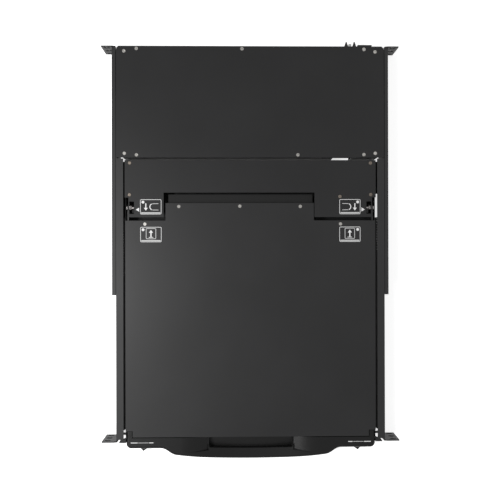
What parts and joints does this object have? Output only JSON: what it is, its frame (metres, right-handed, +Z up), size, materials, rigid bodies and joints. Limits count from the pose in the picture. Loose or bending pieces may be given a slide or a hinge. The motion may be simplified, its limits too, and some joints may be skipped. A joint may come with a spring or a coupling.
{
  "type": "rackmount lcd console drawer",
  "caption": "One-unit rack drawer with a fold-up flat screen over a keyboard and touchpad, on ball slides, with a switch box and adjustable brackets at the back.",
  "frame": {"origin": "centre of the front rack-hole pattern, in the front face of the front ears", "axes": "+X to the right as seen by the user in front, +Y from the front to the back of the rack, +Z up"},
  "size_m": [0.4826, 0.684, 0.0439],
  "materials": {
    "black_paint": "fine-textured black powder coat",
    "nickel_screw": "bright nickel plate",
    "zinc_steel": "zinc-plated steel sheet",
    "bright_steel": "turned bright steel",
    "cage": "galvanised strip and bright balls",
    "black_plastic": "fine grained moulding",
    "keycaps": "satin caps",
    "touch_surface": "smooth satin",
    "leds": "clear tinted lens",
    "screen": "anti-glare dark screen",
    "board": "coated circuit board",
    "socket": "black moulding",
    "port_shell": "plated connector shells"
  },
  "bodies": {
    "frame": {"left_fixed_rail": "black_paint", "right_fixed_rail": "black_paint", "left_outer_slide": "zinc_steel", "right_outer_slide": "zinc_steel", "chassis_base": "black_paint", "rear_cover": "black_paint", "cover_screws": "nickel_screw", "bracket_screws": "nickel_screw", "power_supply": "board", "switch_board": "board", "power_inlet": "socket", "rear_ports": "port_shell", "rear_panel_screws": "nickel_screw"},
    "drawer": {"drawer_tray": "black_paint", "drawer_front_plate": "black_paint", "drawer_rear_plate": "black_paint", "drawer_screws": "nickel_screw", "front_bezel": "black_plastic", "keyboard_deck": "black_plastic", "keyboard_base": "black_plastic", "letter_keys": "keycaps", "modifier_keys": "keycaps", "keypad_keys": "keycaps", "function_keys": "keycaps", "touchpad": "touch_surface", "status_leds": "leds", "left_inner_slide": "zinc_steel", "right_inner_slide": "zinc_steel", "left_hinge_bracket": "zinc_steel", "right_hinge_bracket": "zinc_steel", "left_hinge_axle": "bright_steel", "right_hinge_axle": "bright_steel"},
    "screen": {"lid_cover": "black_paint", "lid_frame": "black_plastic", "lcd_panel": "screen", "lid_boards": "board", "lid_screws": "nickel_screw", "left_hinge_arm": "zinc_steel", "right_hinge_arm": "zinc_steel"},
    "left_middle_slide": {"left_middle_slide": "zinc_steel"},
    "left_outer_ball_cage": {"left_outer_ball_cage": "cage"},
    "left_inner_ball_cage": {"left_inner_ball_cage": "cage"},
    "right_middle_slide": {"right_middle_slide": "zinc_steel"},
    "right_outer_ball_cage": {"right_outer_ball_cage": "cage"},
    "right_inner_ball_cage": {"right_inner_ball_cage": "cage"},
    "left_release_catch": {"left_release_catch": "black_plastic"},
    "left_hinge_latch": {"left_hinge_latch": "black_plastic"},
    "touchpad_left_button": {"touchpad_left_button": "keycaps"},
    "left_rear_bracket": {"left_rear_bracket": "black_paint"},
    "right_release_catch": {"right_release_catch": "black_plastic"},
    "right_hinge_latch": {"right_hinge_latch": "black_plastic"},
    "touchpad_right_button": {"touchpad_right_button": "keycaps"},
    "right_rear_bracket": {"right_rear_bracket": "black_paint"},
    "space_bar": {"space_bar": "keycaps"},
    "enter_key": {"enter_key": "keycaps"},
    "power_button": {"power_button": "keycaps"},
    "menu_button": {"menu_button": "keycaps"},
    "up_button": {"up_button": "keycaps"},
    "down_button": {"down_button": "keycaps"},
    "power_rocker": {"power_rocker": "socket"}
  },
  "joints": [
    {"name": "drawer_slide", "type": "slide", "parent": "frame", "child": "drawer", "axis": [0, -1, 0], "range_m": [0, 0.4]},
    {"name": "left_middle_slide_travel", "type": "slide", "parent": "frame", "child": "left_middle_slide", "axis": [0, -1, 0], "range_m": [0, 0.2]},
    {"name": "left_outer_ball_cage_travel", "type": "slide", "parent": "frame", "child": "left_outer_ball_cage", "axis": [0, -1, 0], "range_m": [0, 0.1]},
    {"name": "left_inner_ball_cage_travel", "type": "slide", "parent": "frame", "child": "left_inner_ball_cage", "axis": [0, -1, 0], "range_m": [0, 0.3]},
    {"name": "right_middle_slide_travel", "type": "slide", "parent": "frame", "child": "right_middle_slide", "axis": [0, -1, 0], "range_m": [0, 0.2]},
    {"name": "right_outer_ball_cage_travel", "type": "slide", "parent": "frame", "child": "right_outer_ball_cage", "axis": [0, -1, 0], "range_m": [0, 0.1]},
    {"name": "right_inner_ball_cage_travel", "type": "slide", "parent": "frame", "child": "right_inner_ball_cage", "axis": [0, -1, 0], "range_m": [0, 0.3]},
    {"name": "screen_hinge", "type": "hinge", "parent": "drawer", "child": "screen", "pos_m": [0, 0.38, 0.008], "axis": [-1, 0, 0], "range_deg": [0, 120]},
    {"name": "left_release_catch_press", "type": "slide", "parent": "drawer", "child": "left_release_catch", "axis": [1, 0, 0], "range_m": [0, 0.005], "stiffness_N_per_m": 300},
    {"name": "left_hinge_latch_slide", "type": "slide", "parent": "drawer", "child": "left_hinge_latch", "axis": [0, 1, 0], "range_m": [0, 0.006], "stiffness_N_per_m": 150},
    {"name": "touchpad_left_button_press", "type": "slide", "parent": "drawer", "child": "touchpad_left_button", "axis": [0, 0, -1], "range_m": [0, 0.0008], "stiffness_N_per_m": 600},
    {"name": "left_rear_bracket_reach", "type": "slide", "parent": "frame", "child": "left_rear_bracket", "axis": [0, 1, 0], "range_m": [-0.065, 0.06]},
    {"name": "right_release_catch_press", "type": "slide", "parent": "drawer", "child": "right_release_catch", "axis": [-1, 0, 0], "range_m": [0, 0.005], "stiffness_N_per_m": 300},
    {"name": "right_hinge_latch_slide", "type": "slide", "parent": "drawer", "child": "right_hinge_latch", "axis": [0, 1, 0], "range_m": [0, 0.006], "stiffness_N_per_m": 150},
    {"name": "touchpad_right_button_press", "type": "slide", "parent": "drawer", "child": "touchpad_right_button", "axis": [0, 0, -1], "range_m": [0, 0.0008], "stiffness_N_per_m": 600},
    {"name": "right_rear_bracket_reach", "type": "slide", "parent": "frame", "child": "right_rear_bracket", "axis": [0, 1, 0], "range_m": [-0.065, 0.06]},
    {"name": "space_bar_press", "type": "slide", "parent": "drawer", "child": "space_bar", "axis": [0, 0, -1], "range_m": [0, 0.002], "stiffness_N_per_m": 250},
    {"name": "enter_key_press", "type": "slide", "parent": "drawer", "child": "enter_key", "axis": [0, 0, -1], "range_m": [0, 0.002], "stiffness_N_per_m": 250},
    {"name": "power_button_press", "type": "slide", "parent": "screen", "child": "power_button", "axis": [0, 0, 1], "range_m": [0, 0.0008], "stiffness_N_per_m": 500},
    {"name": "menu_button_press", "type": "slide", "parent": "screen", "child": "menu_button", "axis": [0, 0, 1], "range_m": [0, 0.0008], "stiffness_N_per_m": 500},
    {"name": "up_button_press", "type": "slide", "parent": "screen", "child": "up_button", "axis": [0, 0, 1], "range_m": [0, 0.0008], "stiffness_N_per_m": 500},
    {"name": "down_button_press", "type": "slide", "parent": "screen", "child": "down_button", "axis": [0, 0, 1], "range_m": [0, 0.0008], "stiffness_N_per_m": 500},
    {"name": "power_rocker_tilt", "type": "hinge", "parent": "frame", "child": "power_rocker", "pos_m": [0.137, 0.636, -0.002], "axis": [1, 0, 0], "range_deg": [0, 20]}
  ],
  "couplings": [
    {"joint": "left_middle_slide_travel", "follows": "drawer_slide", "ratio": 0.5},
    {"joint": "left_outer_ball_cage_travel", "follows": "drawer_slide", "ratio": 0.25},
    {"joint": "left_inner_ball_cage_travel", "follows": "drawer_slide", "ratio": 0.75},
    {"joint": "right_middle_slide_travel", "follows": "drawer_slide", "ratio": 0.5},
    {"joint": "right_outer_ball_cage_travel", "follows": "drawer_slide", "ratio": 0.25},
    {"joint": "right_inner_ball_cage_travel", "follows": "drawer_slide", "ratio": 0.75}
  ]
}
